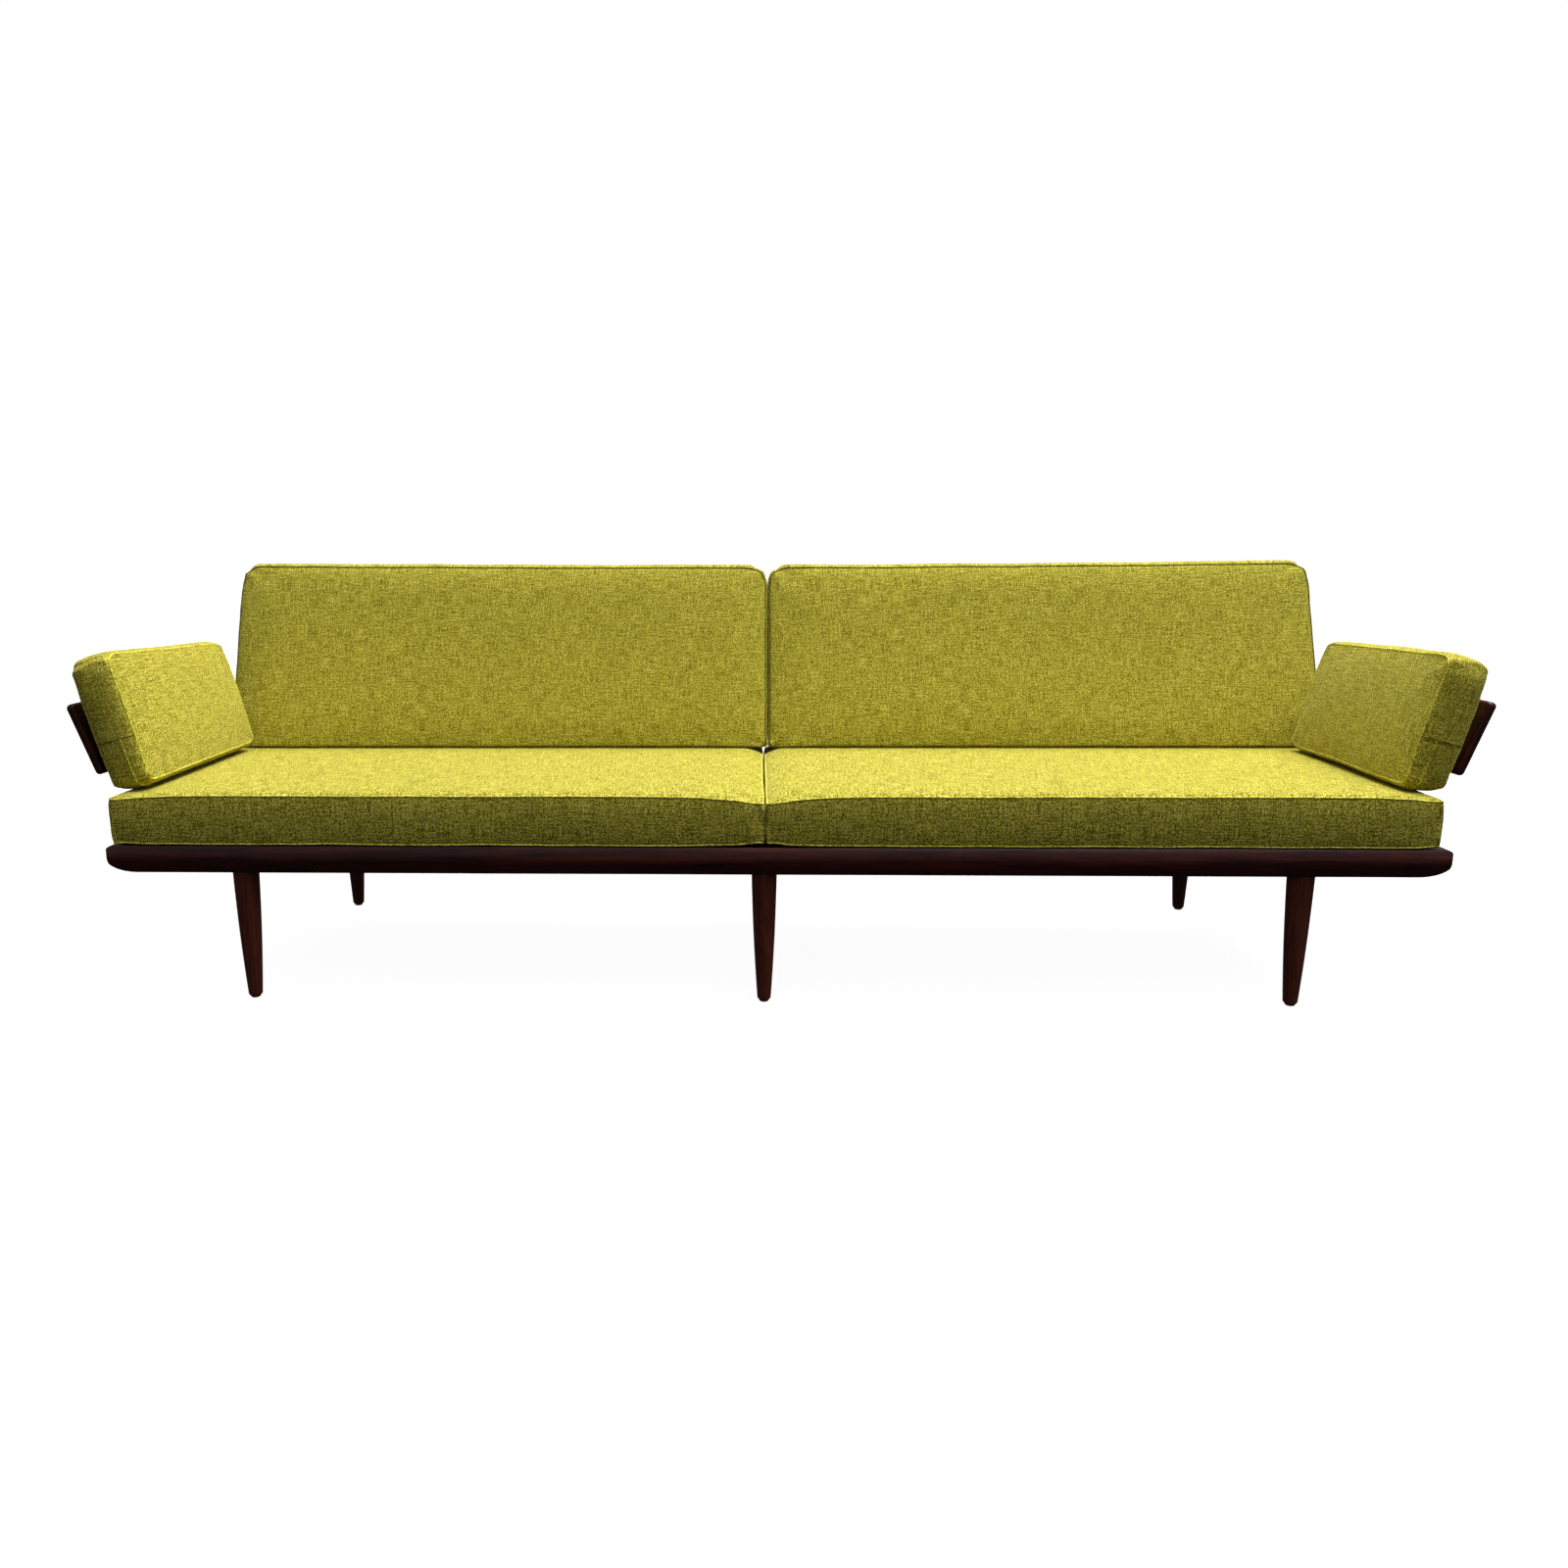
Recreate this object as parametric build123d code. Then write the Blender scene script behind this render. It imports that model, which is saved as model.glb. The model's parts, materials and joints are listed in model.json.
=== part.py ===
from build123d import *
import os
from math import cos, radians, sin, tan

# A four-seat daybed with two seat cushions, two back cushions and two drop-down arms.
# Millimetres. +X runs along the length, -Y is the front, +Z is up, the floor is at Z 0.
# Each piece is modelled about the middle of the frame. The whole is moved along Y at the
# end, so that the origin is under the middle of the overall box.

# driving dimensions: frame
FRAME_LENGTH = 2500
FRAME_DEPTH = 672
RAIL_BOTTOM = 256
RAIL_TOP = 308
RAIL_THICK = 54
RAIL_CROWN = 9
CROSS_RAIL_THICK = 36
CROSS_RAIL_BOTTOM = 262
END_RAIL_FACE = 1200
LEG_X = 992
LEG_Y = 303
LEG_TOP_R = 24
LEG_FOOT_R = 13.0
GLIDE_HEIGHT = 3
SLATS_PER_BAY = 8
SLAT_WIDTH = 72
SLAT_THICK = 14
LEDGER = 20

# driving dimensions: upholstery
SEAT_SPANS = {"left": (-1235, -9), "right": (11, 1225)}
SEAT_DEPTH = 652
SEAT_BOTTOM = 308.5
SEAT_TOP = 403
BACK_SPANS = {"left": (-1238, 6), "right": (15, 1254)}
BACK_LEAN = 20
BACK_FOOT_Y = 212
BACK_HEIGHT = 440
BACK_THICK = 92
REST_GAP = 1

# driving dimensions: back support
BACK_BOARD_LENGTH = 2300
BACK_BOARD_THICK = 18
BACK_BOARDS = {"lower": (62, 90), "upper": (230, 130)}
BRACKET_X = (-1030, -400, 400, 1030)
BRACKET_WIDTH = 32
BRACKET_THICK = 5
BRACKET_REACH = 345

# driving dimensions: arms
ARM_MIDDLE_Y = -50
ARM_CUSHION = (470, 250, 86)
ARM_CUSHION_CORNER = (1245, 400)
ARM_CUSHION_LEAN = 15
ARM_BOARD_LENGTH = 440
ARM_BOARD_HEIGHT = 144
ARM_BOARD_THICK = 17
ARM_BOARD_CORNER = (1270, 437)
ARM_LEAN = 19.9
LEVER_PITCH = 180
LEVER_WIDTH = 30
LEVER_THICK = 5
LEVER_REACH = 540
PIVOT_X = 1243.5
PIVOT_Z = 280
PIVOT_R = 4
RUNNING_GAP = 0.05
EYE_R = 8
LUG_THICK = 5
SCREW_R = 2

SIDES = {"left": -1, "right": 1}
PARTS = {}


def block(x, y, z):
    """A box from its (low, high) range along each axis."""
    size = [high - low for low, high in (x, y, z)]
    middle = [(high + low) / 2 for low, high in (x, y, z)]
    return Pos(*middle) * Box(*size)


def rod(radius, start, end):
    """A round bar between two points."""
    line = Vector(*end) - Vector(*start)
    return Plane(origin=start, z_dir=line) * Cylinder(
        radius, line.length, align=(Align.CENTER, Align.CENTER, Align.MIN)
    )


def screw(head, direction, length, radius=SCREW_R):
    """A countersunk wood screw whose flat head is at a surface point."""
    sink = radius * 1.1
    place = Plane(origin=head, z_dir=direction)
    flat = Cone(radius * 2, radius, sink, align=(Align.CENTER, Align.CENTER, Align.MIN))
    shank = Cylinder(radius, length, align=(Align.CENTER, Align.CENTER, Align.MIN))
    return place * (flat + shank)


def mirrored(shape, side):
    """A piece made for the right-hand end, or its mirror image for the left."""
    return shape if SIDES[side] > 0 else mirror(shape, about=Plane.YZ)


def keep(node, shape):
    PARTS[node] = shape


# rails ------------------------------------------------------------------------------------
def rail_section():
    """The front rail's section: flat inside, top and bottom, with a crowned outer face."""
    inner = -FRAME_DEPTH / 2 + RAIL_THICK
    edge = -FRAME_DEPTH / 2 + RAIL_CROWN
    crown = -FRAME_DEPTH / 2
    middle = (RAIL_BOTTOM + RAIL_TOP) / 2
    with BuildSketch(Plane.YZ) as sketch:
        with BuildLine():
            ThreePointArc((edge, RAIL_BOTTOM), (crown, middle), (edge, RAIL_TOP))
            Polyline((edge, RAIL_TOP), (inner, RAIL_TOP), (inner, RAIL_BOTTOM), (edge, RAIL_BOTTOM))
        make_face()
    return sketch.sketch


def rail_elevation():
    """The rail seen from the front: the underside sweeps up into a nose at each end."""
    half = FRAME_LENGTH / 2
    nose_z = RAIL_TOP - 14
    sweep = 58
    ease = 14
    with BuildSketch(Plane.XZ) as sketch:
        with BuildLine():
            Line((-half + sweep, RAIL_BOTTOM), (half - sweep, RAIL_BOTTOM))
            EllipticalCenterArc((half - sweep, nose_z), sweep, nose_z - RAIL_BOTTOM, 270, arc_size=90)
            EllipticalCenterArc((half - ease, nose_z), ease, RAIL_TOP - nose_z, 0, arc_size=90)
            Line((half - ease, RAIL_TOP), (-half + ease, RAIL_TOP))
            EllipticalCenterArc((-half + ease, nose_z), ease, RAIL_TOP - nose_z, 90, arc_size=90)
            EllipticalCenterArc((-half + sweep, nose_z), sweep, nose_z - RAIL_BOTTOM, 180, arc_size=90)
        make_face()
    return sketch.sketch


def rail_plan():
    """The front rail seen from above, with its outer corners rounded."""
    half = FRAME_LENGTH / 2
    outer = -FRAME_DEPTH / 2
    plan = Pos(0, outer + RAIL_THICK / 2) * Rectangle(2 * half, RAIL_THICK)
    corners = plan.vertices().sort_by(Axis.Y)[:2]
    return fillet(corners, radius=14)


def front_rail_blank():
    half = FRAME_LENGTH / 2
    bar = extrude(Pos(-half, 0, 0) * rail_section(), 2 * half, dir=(1, 0, 0))
    bar = bar & extrude(rail_elevation(), FRAME_DEPTH, dir=(0, -1, 0))
    return bar & extrude(rail_plan(), RAIL_TOP + 1)


def make_rails():
    front = front_rail_blank()
    rear = mirror(front, about=Plane.XZ)
    keep("front_rail", front)
    keep("rear_rail", rear)
    inner = FRAME_DEPTH / 2 - RAIL_THICK
    height = (CROSS_RAIL_BOTTOM, RAIL_TOP)
    for side, sign in SIDES.items():
        x = sorted((sign * (END_RAIL_FACE - CROSS_RAIL_THICK), sign * END_RAIL_FACE))
        keep(f"end_rail_{side}", block(x, (-inner, inner), height))
    half = CROSS_RAIL_THICK / 2
    keep("centre_rail", block((-half, half), (-inner, inner), height))


def cross_rail_middles():
    offset = END_RAIL_FACE - CROSS_RAIL_THICK / 2
    return {"end_rail_left": -offset, "centre_rail": 0, "end_rail_right": offset}


def make_dowels():
    """Two wooden pegs across each joint between a cross rail and a long rail."""
    inner = FRAME_DEPTH / 2 - RAIL_THICK
    heights = (CROSS_RAIL_BOTTOM + 11, RAIL_TOP - 12)
    in_cross_rail = 22
    in_long_rail = 14
    pegs = []
    for node, x in cross_rail_middles().items():
        for sign in (-1, 1):
            for z in heights:
                start = (x, sign * (inner - in_cross_rail), z)
                peg = rod(5, start, (x, sign * (inner + in_long_rail), z))
                pegs.append(peg)
                PARTS[node] -= peg
                long_rail = "front_rail" if sign < 0 else "rear_rail"
                PARTS[long_rail] -= peg
    keep("joint_dowels", Compound(pegs))


# legs -------------------------------------------------------------------------------------
def make_legs():
    """Six turned tapered legs, each on a threaded stud, with a nylon glide underfoot."""
    swell = RAIL_BOTTOM * 0.62
    with BuildSketch(Plane.XZ) as profile:
        with BuildLine():
            Polyline((0, RAIL_BOTTOM), (LEG_TOP_R - 1.5, RAIL_BOTTOM), (LEG_TOP_R, RAIL_BOTTOM - 2))
            Spline(
                (LEG_TOP_R, RAIL_BOTTOM - 2),
                (LEG_TOP_R - 2.8, swell),
                (LEG_FOOT_R, GLIDE_HEIGHT + 4),
            )
            Polyline(
                (LEG_FOOT_R, GLIDE_HEIGHT + 4),
                (LEG_FOOT_R - 3, GLIDE_HEIGHT),
                (0, GLIDE_HEIGHT),
                (0, RAIL_BOTTOM),
            )
        make_face()
    turned = revolve(profile.sketch, Axis.Z)
    depth = 30
    stud = rod(4, (0, 0, RAIL_BOTTOM - depth), (0, 0, RAIL_BOTTOM + depth))
    pin = rod(2, (0, 0, GLIDE_HEIGHT), (0, 0, GLIDE_HEIGHT + 14))
    glide = rod(9, (0, 0, 0), (0, 0, GLIDE_HEIGHT)) + pin
    glide = chamfer(glide.edges().group_by(Axis.Z)[0], 1)
    leg = turned - stud - pin
    studs = []
    glides = []
    for row, sign, long_rail in (("front", -1, "front_rail"), ("rear", 1, "rear_rail")):
        for place, x in (("left", -LEG_X), ("middle", 0), ("right", LEG_X)):
            spot = Pos(x, sign * LEG_Y, 0)
            keep(f"leg_{row}_{place}", spot * leg)
            studs.append(spot * stud)
            glides.append(spot * glide)
            PARTS[long_rail] -= spot * stud
    keep("leg_studs", Compound(studs))
    keep("foot_glides", Compound(glides))


# seat base --------------------------------------------------------------------------------
def bays():
    inner = END_RAIL_FACE - CROSS_RAIL_THICK
    half = CROSS_RAIL_THICK / 2
    return {"left": (-inner, -half), "right": (half, inner)}


def make_seat_base():
    """Flat slats across each bay, screwed down to ledger strips on the long rails."""
    inner = FRAME_DEPTH / 2 - RAIL_THICK
    slat_bottom = RAIL_TOP - SLAT_THICK
    ledger_bottom = slat_bottom - LEDGER
    clear = 1
    screws = []
    for side, (low, high) in bays().items():
        pitch = (high - low) / SLATS_PER_BAY
        middles = [low + pitch * (index + 0.5) for index in range(SLATS_PER_BAY)]
        strips = {
            "front": block((low + 45, high - 45), (-inner, -inner + LEDGER), (ledger_bottom, slat_bottom)),
            "rear": block((low + 45, high - 45), (inner - LEDGER, inner), (ledger_bottom, slat_bottom)),
        }
        slats = []
        for x in middles:
            half = SLAT_WIDTH / 2
            slat = block((x - half, x + half), (-inner + clear, inner - clear), (slat_bottom, RAIL_TOP))
            slat = fillet(slat.edges().filter_by(Axis.Y).group_by(Axis.Z)[-1], 3)
            for row, sign in (("front", -1), ("rear", 1)):
                fixing = screw((x, sign * (inner - LEDGER / 2), RAIL_TOP), (0, 0, -1), 28)
                slat -= fixing
                strips[row] -= fixing
                screws.append(fixing)
            slats.append(slat)
        keep(f"seat_slats_{side}", Compound(slats))
        for row, strip in strips.items():
            sign = -1 if row == "front" else 1
            for share in (0.2, 0.5, 0.8):
                x = low + (high - low) * share
                head = (x, sign * (inner - LEDGER), slat_bottom - LEDGER / 2)
                fixing = screw(head, (0, sign, 0), 40)
                strip -= fixing
                PARTS[f"{row}_rail"] -= fixing
                screws.append(fixing)
            keep(f"ledger_{row}_{side}", strip)
    keep("seat_screws", Compound(screws))


def make_corner_plates():
    """Steel angles that tie the cross rails to the long rails, with two screws in each leg."""
    inner = FRAME_DEPTH / 2 - RAIL_THICK
    leg = 40
    thick = 3
    low = CROSS_RAIL_BOTTOM
    high = low + 30
    half = CROSS_RAIL_THICK / 2
    angles = []
    screws = []
    for node, middle in cross_rail_middles().items():
        turn = 1 if middle <= 0 else -1
        face = middle + turn * half
        for sign in (-1, 1):
            wall = sign * inner
            along = block(sorted((face, face + turn * leg)), sorted((wall, wall - sign * thick)), (low, high))
            across = block(sorted((face, face + turn * thick)), sorted((wall, wall - sign * leg)), (low, high))
            angle = along + across
            long_rail = "front_rail" if sign < 0 else "rear_rail"
            for z in (low + 8, high - 8):
                into_long = screw((face + turn * 28, wall - sign * thick, z), (0, sign, 0), 24)
                into_cross = screw((face + turn * thick, wall - sign * 28, z), (-turn, 0, 0), 24)
                angle = angle - into_long - into_cross
                PARTS[long_rail] -= into_long
                PARTS[node] -= into_cross
                screws += [into_long, into_cross]
            angles.append(angle)
    keep("corner_plates", Compound(angles))
    keep("corner_screws", Compound(screws))


# back support -----------------------------------------------------------------------------
def back_plane(offset=0):
    """A plane whose X runs along the length, Y up the lean and Z out of the back cushion's rear."""
    lean = radians(BACK_LEAN)
    origin = Vector(0, BACK_FOOT_Y, SEAT_TOP + REST_GAP)
    rearward = Vector(0, cos(lean), -sin(lean))
    return Plane(origin=origin + rearward * (BACK_THICK + offset), x_dir=(-1, 0, 0), z_dir=rearward)


def make_back_boards():
    plane = back_plane(REST_GAP)
    for name, (start, height) in BACK_BOARDS.items():
        face = Pos(0, start + height / 2) * RectangleRounded(BACK_BOARD_LENGTH, height, 12)
        board = extrude(face, BACK_BOARD_THICK)
        board = fillet(board.edges().filter_by(Axis.X), 7)
        keep(f"back_board_{name}", plane * board)


def make_back_brackets():
    """Bent steel flats: an upright leg let into the rear rail and a leaning leg behind the boards."""
    lean = radians(BACK_LEAN)
    plane = back_plane(REST_GAP + BACK_BOARD_THICK)
    face_y = plane.origin.Y
    face_z = plane.origin.Z
    rail_face = FRAME_DEPTH / 2 - 6
    bend_z = face_z + (rail_face - face_y) / tan(lean)
    top_y = face_y + BRACKET_REACH * sin(lean)
    top_z = face_z + BRACKET_REACH * cos(lean)
    back = BRACKET_THICK
    corner = back * tan(lean / 2)
    outline = Polyline(
        (rail_face, RAIL_BOTTOM + 8),
        (rail_face, bend_z),
        (top_y, top_z),
        (top_y + back * cos(lean), top_z - back * sin(lean)),
        (rail_face + back, bend_z - corner),
        (rail_face + back, RAIL_BOTTOM + 8),
        close=True,
    )
    face = make_face(Plane.YZ * outline)
    blank = extrude(face, BRACKET_WIDTH / 2, dir=(1, 0, 0), both=True)
    brackets = []
    bolts = []
    screws = []
    for x in BRACKET_X:
        bracket = Pos(x, 0, 0) * blank
        PARTS["rear_rail"] -= block(
            (x - BRACKET_WIDTH / 2, x + BRACKET_WIDTH / 2),
            (rail_face, FRAME_DEPTH / 2 + 1),
            (RAIL_BOTTOM - 1, RAIL_TOP + 1),
        )
        for z in (RAIL_BOTTOM + 18, RAIL_TOP - 12):
            shank = rod(3, (x, rail_face - 34, z), (x, rail_face + back, z))
            head = rod(6, (x, rail_face + back, z), (x, rail_face + back + 4, z))
            bracket -= shank
            PARTS["rear_rail"] -= shank
            bolts.append(shank + head)
        for name, (start, height) in BACK_BOARDS.items():
            for share in (0.28, 0.72):
                local = Pos(-x, start + height * share, back)
                fixing = (plane * local) * screw((0, 0, 0), (0, 0, -1), 18)
                bracket -= fixing
                PARTS[f"back_board_{name}"] -= fixing
                screws.append(fixing)
        brackets.append(bracket)
    keep("back_brackets", Compound(brackets))
    keep("back_bracket_bolts", Compound(bolts))
    keep("back_board_screws", Compound(screws))


# arms -------------------------------------------------------------------------------------
def arm_plane(corner, lean):
    """A plane on the right arm: X along +Y, Y up the lean, Z outward, from a bottom corner."""
    tilt = radians(lean)
    outward = (cos(tilt), 0, -sin(tilt))
    return Plane(origin=(corner[0], ARM_MIDDLE_Y, corner[1]), x_dir=(0, 1, 0), z_dir=outward)


def lever_middles():
    return [ARM_MIDDLE_Y - LEVER_PITCH / 2, ARM_MIDDLE_Y + LEVER_PITCH / 2]


def lever_blank():
    """A steel flat that rises from the pivot eye and then leans along the arm board."""
    slope = tan(radians(ARM_LEAN))
    half = LEVER_THICK / 2
    board_x, board_z = ARM_BOARD_CORNER
    inset = LEVER_THICK / cos(radians(ARM_LEAN))
    outer_bend = board_z - (board_x - PIVOT_X - half) / slope
    inner_bend = board_z - (board_x - inset - PIVOT_X + half) / slope
    top = LEVER_REACH
    outline = Polyline(
        (PIVOT_X + half, PIVOT_Z),
        (PIVOT_X + half, outer_bend),
        (board_x + (top - board_z) * slope, top),
        (board_x - inset + (top - board_z) * slope, top),
        (PIVOT_X - half, inner_bend),
        (PIVOT_X - half, PIVOT_Z),
        close=True,
    )
    face = make_face(Plane.XZ * outline)
    flat = extrude(face, LEVER_WIDTH / 2, dir=(0, 1, 0), both=True)
    eye = rod(EYE_R, (PIVOT_X, -LEVER_WIDTH / 2, PIVOT_Z), (PIVOT_X, LEVER_WIDTH / 2, PIVOT_Z))
    reach = LEVER_WIDTH
    bore = rod(PIVOT_R + RUNNING_GAP, (PIVOT_X, -reach, PIVOT_Z), (PIVOT_X, reach, PIVOT_Z))
    return flat + eye - bore


def hinge_box():
    """An open box of plate: a back on the end rail, two cheeks, and stops above and outside."""
    side_gap = 0.4
    cheek = LEVER_WIDTH / 2 + side_gap
    low = CROSS_RAIL_BOTTOM + 2
    high = RAIL_TOP - 4
    thick = LUG_THICK
    outer = PIVOT_X + 24
    stop_gap = 0.2
    back_plate = block((END_RAIL_FACE, END_RAIL_FACE + 4), (-42, 42), (low, high))
    box = back_plate + block((END_RAIL_FACE, outer), (-cheek, cheek), (low, low + 3))
    upper_stop_end = PIVOT_X - LEVER_THICK / 2 - stop_gap
    box += block((END_RAIL_FACE, upper_stop_end), (-cheek, cheek), (high - 6, high - 2))
    lowered = radians(90 - ARM_LEAN)
    drop = LEVER_THICK / 2 / sin(lowered) + stop_gap
    web_top = PIVOT_Z + (outer - 4 - PIVOT_X) / tan(lowered) - drop
    box += block((outer - 4, outer), (-cheek, cheek), (low, web_top))
    for sign in (-1, 1):
        y = sorted((sign * cheek, sign * (cheek + thick)))
        plate = block((END_RAIL_FACE, outer), y, (low, high))
        cut = block((PIVOT_X + 6, outer + 1), y, (web_top + 4, high + 1))
        box += plate - cut
    return box


def wing_nut(y):
    """A hand nut: a round boss with two wings, on the bolt's threaded end."""
    boss = rod(7, (PIVOT_X, y, PIVOT_Z), (PIVOT_X, y + 8, PIVOT_Z))
    wings = block((PIVOT_X - 2, PIVOT_X + 2), (y + 2, y + 12), (PIVOT_Z - 16, PIVOT_Z + 16))
    return boss + wings


def make_arm(side):
    """One drop-down arm: hinge boxes on the frame, levers, board and cushion."""
    board_plane = arm_plane(ARM_BOARD_CORNER, ARM_LEAN)
    face = Pos(0, ARM_BOARD_HEIGHT / 2) * RectangleRounded(ARM_BOARD_LENGTH, ARM_BOARD_HEIGHT, 9)
    board = extrude(face, ARM_BOARD_THICK)
    board = fillet(board.edges().filter_by(Axis.X), 6.5)
    board = board_plane * board

    boxes = []
    box_screws = []
    bolts = []
    nuts = []
    levers = []
    board_screws = []
    head_z = PIVOT_Z + 4
    end_rail = mirrored(PARTS[f"end_rail_{side}"], side)
    for y in lever_middles():
        spot = Pos(0, y, 0)
        box = spot * hinge_box()
        lever = spot * lever_blank()
        cheek = LEVER_WIDTH / 2 + 0.4 + LUG_THICK
        shank = rod(PIVOT_R, (PIVOT_X, y - cheek, PIVOT_Z), (PIVOT_X, y + cheek + 13, PIVOT_Z))
        head = rod(7, (PIVOT_X, y - cheek - 5, PIVOT_Z), (PIVOT_X, y - cheek, PIVOT_Z))
        bolts.append(head + shank)
        box -= shank
        nuts.append(wing_nut(y + cheek) - shank)
        for offset in (-31, 31):
            for z in (head_z - 10, head_z + 10):
                fixing = screw((END_RAIL_FACE + 4, y + offset, z), (-1, 0, 0), 26)
                box -= fixing
                end_rail -= fixing
                box_screws.append(fixing)
        for height in (45, 85):
            local = board_plane * Pos(y - ARM_MIDDLE_Y, height, -LEVER_THICK)
            fixing = local * screw((0, 0, 0), (0, 0, 1), 17)
            lever -= fixing
            board -= fixing
            board_screws.append(fixing)
        boxes.append(box)
        levers.append(lever)

    length, height, thick = ARM_CUSHION
    face = Pos(0, height / 2) * RectangleRounded(length, height, 34)
    pad = extrude(face, -thick)
    pad = fillet(pad.edges().group_by(Axis.Z)[0] + pad.edges().group_by(Axis.Z)[-1], 16)
    pad = arm_plane(ARM_CUSHION_CORNER, ARM_CUSHION_LEAN) * pad

    keep(f"end_rail_{side}", mirrored(end_rail, side))
    keep(f"hinge_boxes_{side}", mirrored(Compound(boxes), side))
    keep(f"hinge_screws_{side}", mirrored(Compound(box_screws), side))
    keep(f"pivot_bolts_{side}", mirrored(Compound(bolts), side))
    keep(f"wing_nuts_{side}", mirrored(Compound(nuts), side))
    keep(f"arm_levers_{side}", mirrored(Compound(levers), side))
    keep(f"arm_board_{side}", mirrored(board, side))
    keep(f"arm_board_screws_{side}", mirrored(Compound(board_screws), side))
    keep(f"arm_cushion_{side}", mirrored(pad, side))


# loose cushions ---------------------------------------------------------------------------
def make_seat_cushion(side):
    low, high = SEAT_SPANS[side]
    face = RectangleRounded(high - low, SEAT_DEPTH, 24)
    pad = extrude(Pos((low + high) / 2, 0, SEAT_BOTTOM) * face, SEAT_TOP - SEAT_BOTTOM)
    rims = pad.edges().group_by(Axis.Z)[0] + pad.edges().group_by(Axis.Z)[-1]
    keep(f"seat_cushion_{side}", fillet(rims, 14))


def make_back_cushion(side):
    """A leaning cushion whose foot is pressed flat on the seat."""
    low, high = BACK_SPANS[side]
    sink = 60
    face = Pos(-(low + high) / 2, (BACK_HEIGHT - sink) / 2) * RectangleRounded(
        high - low, BACK_HEIGHT + sink, 46
    )
    pad = extrude(face, -BACK_THICK)
    rims = pad.edges().group_by(Axis.Z)[0] + pad.edges().group_by(Axis.Z)[-1]
    pad = back_plane() * fillet(rims, 17)
    foot = SEAT_TOP + REST_GAP
    keep(f"back_cushion_{side}", pad - block((-2000, 2000), (-1000, 1000), (0, foot)))


def centre_on_origin():
    """Moves every piece along Y so that the overall box is centred on the origin."""
    boxes = [shape.bounding_box() for shape in PARTS.values()]
    low = min(box.min.Y for box in boxes)
    high = max(box.max.Y for box in boxes)
    shift = round(-(low + high) / 2, 1)
    for node, shape in PARTS.items():
        PARTS[node] = Pos(0, shift, 0) * shape
    return shift


make_rails()
make_dowels()
make_legs()
make_seat_base()
make_corner_plates()
make_back_boards()
make_back_brackets()
for end in SIDES:
    make_arm(end)
    make_seat_cushion(end)
    make_back_cushion(end)
moved = centre_on_origin()

os.makedirs("parts", exist_ok=True)
for name, part in PARTS.items():
    export_step(part, f"parts/{name}.step")
print(f"{len(PARTS)} nodes, moved {moved} mm along Y")
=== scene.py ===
import json
import math

import bpy
import numpy as np
from mathutils import Matrix, Vector, noise


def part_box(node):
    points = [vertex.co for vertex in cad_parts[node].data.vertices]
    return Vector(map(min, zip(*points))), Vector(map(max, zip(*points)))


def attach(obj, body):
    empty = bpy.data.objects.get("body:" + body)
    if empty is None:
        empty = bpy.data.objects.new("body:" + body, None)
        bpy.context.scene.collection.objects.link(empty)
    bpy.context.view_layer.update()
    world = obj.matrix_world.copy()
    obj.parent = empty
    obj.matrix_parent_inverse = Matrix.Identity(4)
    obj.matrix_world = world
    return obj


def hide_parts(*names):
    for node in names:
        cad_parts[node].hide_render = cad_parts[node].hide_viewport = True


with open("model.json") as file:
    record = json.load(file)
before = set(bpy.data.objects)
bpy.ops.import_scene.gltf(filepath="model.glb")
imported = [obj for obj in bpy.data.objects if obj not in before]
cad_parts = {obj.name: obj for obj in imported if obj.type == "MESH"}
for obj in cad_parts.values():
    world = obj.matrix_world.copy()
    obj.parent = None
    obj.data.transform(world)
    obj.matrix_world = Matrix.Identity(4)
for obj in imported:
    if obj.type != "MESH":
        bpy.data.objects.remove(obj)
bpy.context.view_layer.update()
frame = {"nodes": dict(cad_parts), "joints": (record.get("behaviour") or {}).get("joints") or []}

SIDES = {"left": -1, "right": 1}

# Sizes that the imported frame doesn't state on its own. Every length is in metres.
BACK_HEIGHT = 0.440
BACK_THICK = 0.092
ARM_SIZE = (0.470, 0.250, 0.086)
ARM_LEAN = math.radians(15)
LEVER_SLOPE = math.radians(4.9)  # how much further an arm's levers lean than its cushion

# The grid that each cushion is built on.
PAD_CELL = 0.0115
CORNER_CELLS = 5
BOXING_ROWS = 8
REAR_CROWN_SHARE = 0.4  # the rear panel's crown as a share of the front's
REAR_WEAVE_START = (3.1, 1.7)  # weave places apart from the front panel's, so that no panels match
BOXING_WEAVE_START = 5.3

# The cloth simulation: its length, its pressure, how firmly the rims are held, and the furthest
# that it may move each cover.
SIM_FRAMES = 20
PRESSURE = 4.0
RIM_HOLD = 0.85
CAPS = {"seat": 0.002, "back": 0.004, "arm": 0.006}

# The finish of each kind of cushion.
CORNER_PINCH = {"seat": 0.05, "back": 0.12, "arm": 0.10}  # share of the thickness lost at the corners
SEAM_DEPTH = {"seat": 0.0003, "back": 0.0020, "arm": 0.0005}
PUCKER = {"seat": 0.0022, "back": 0.0036, "arm": 0.0022}
SWAY = 0.0016
END_EASE = {"seat": 0.003, "back": 0.018}  # how far the outer ends may pass the plain solid's
MIDDLE_GAP = 0.0001  # half the gap between the left and the right cushions
SLAT_GAP = 0.0004
SEAT_GAP = 0.0008
SEAT_SWELL = 0.0095  # how far a seat's top may rise where nothing lies on it

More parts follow.
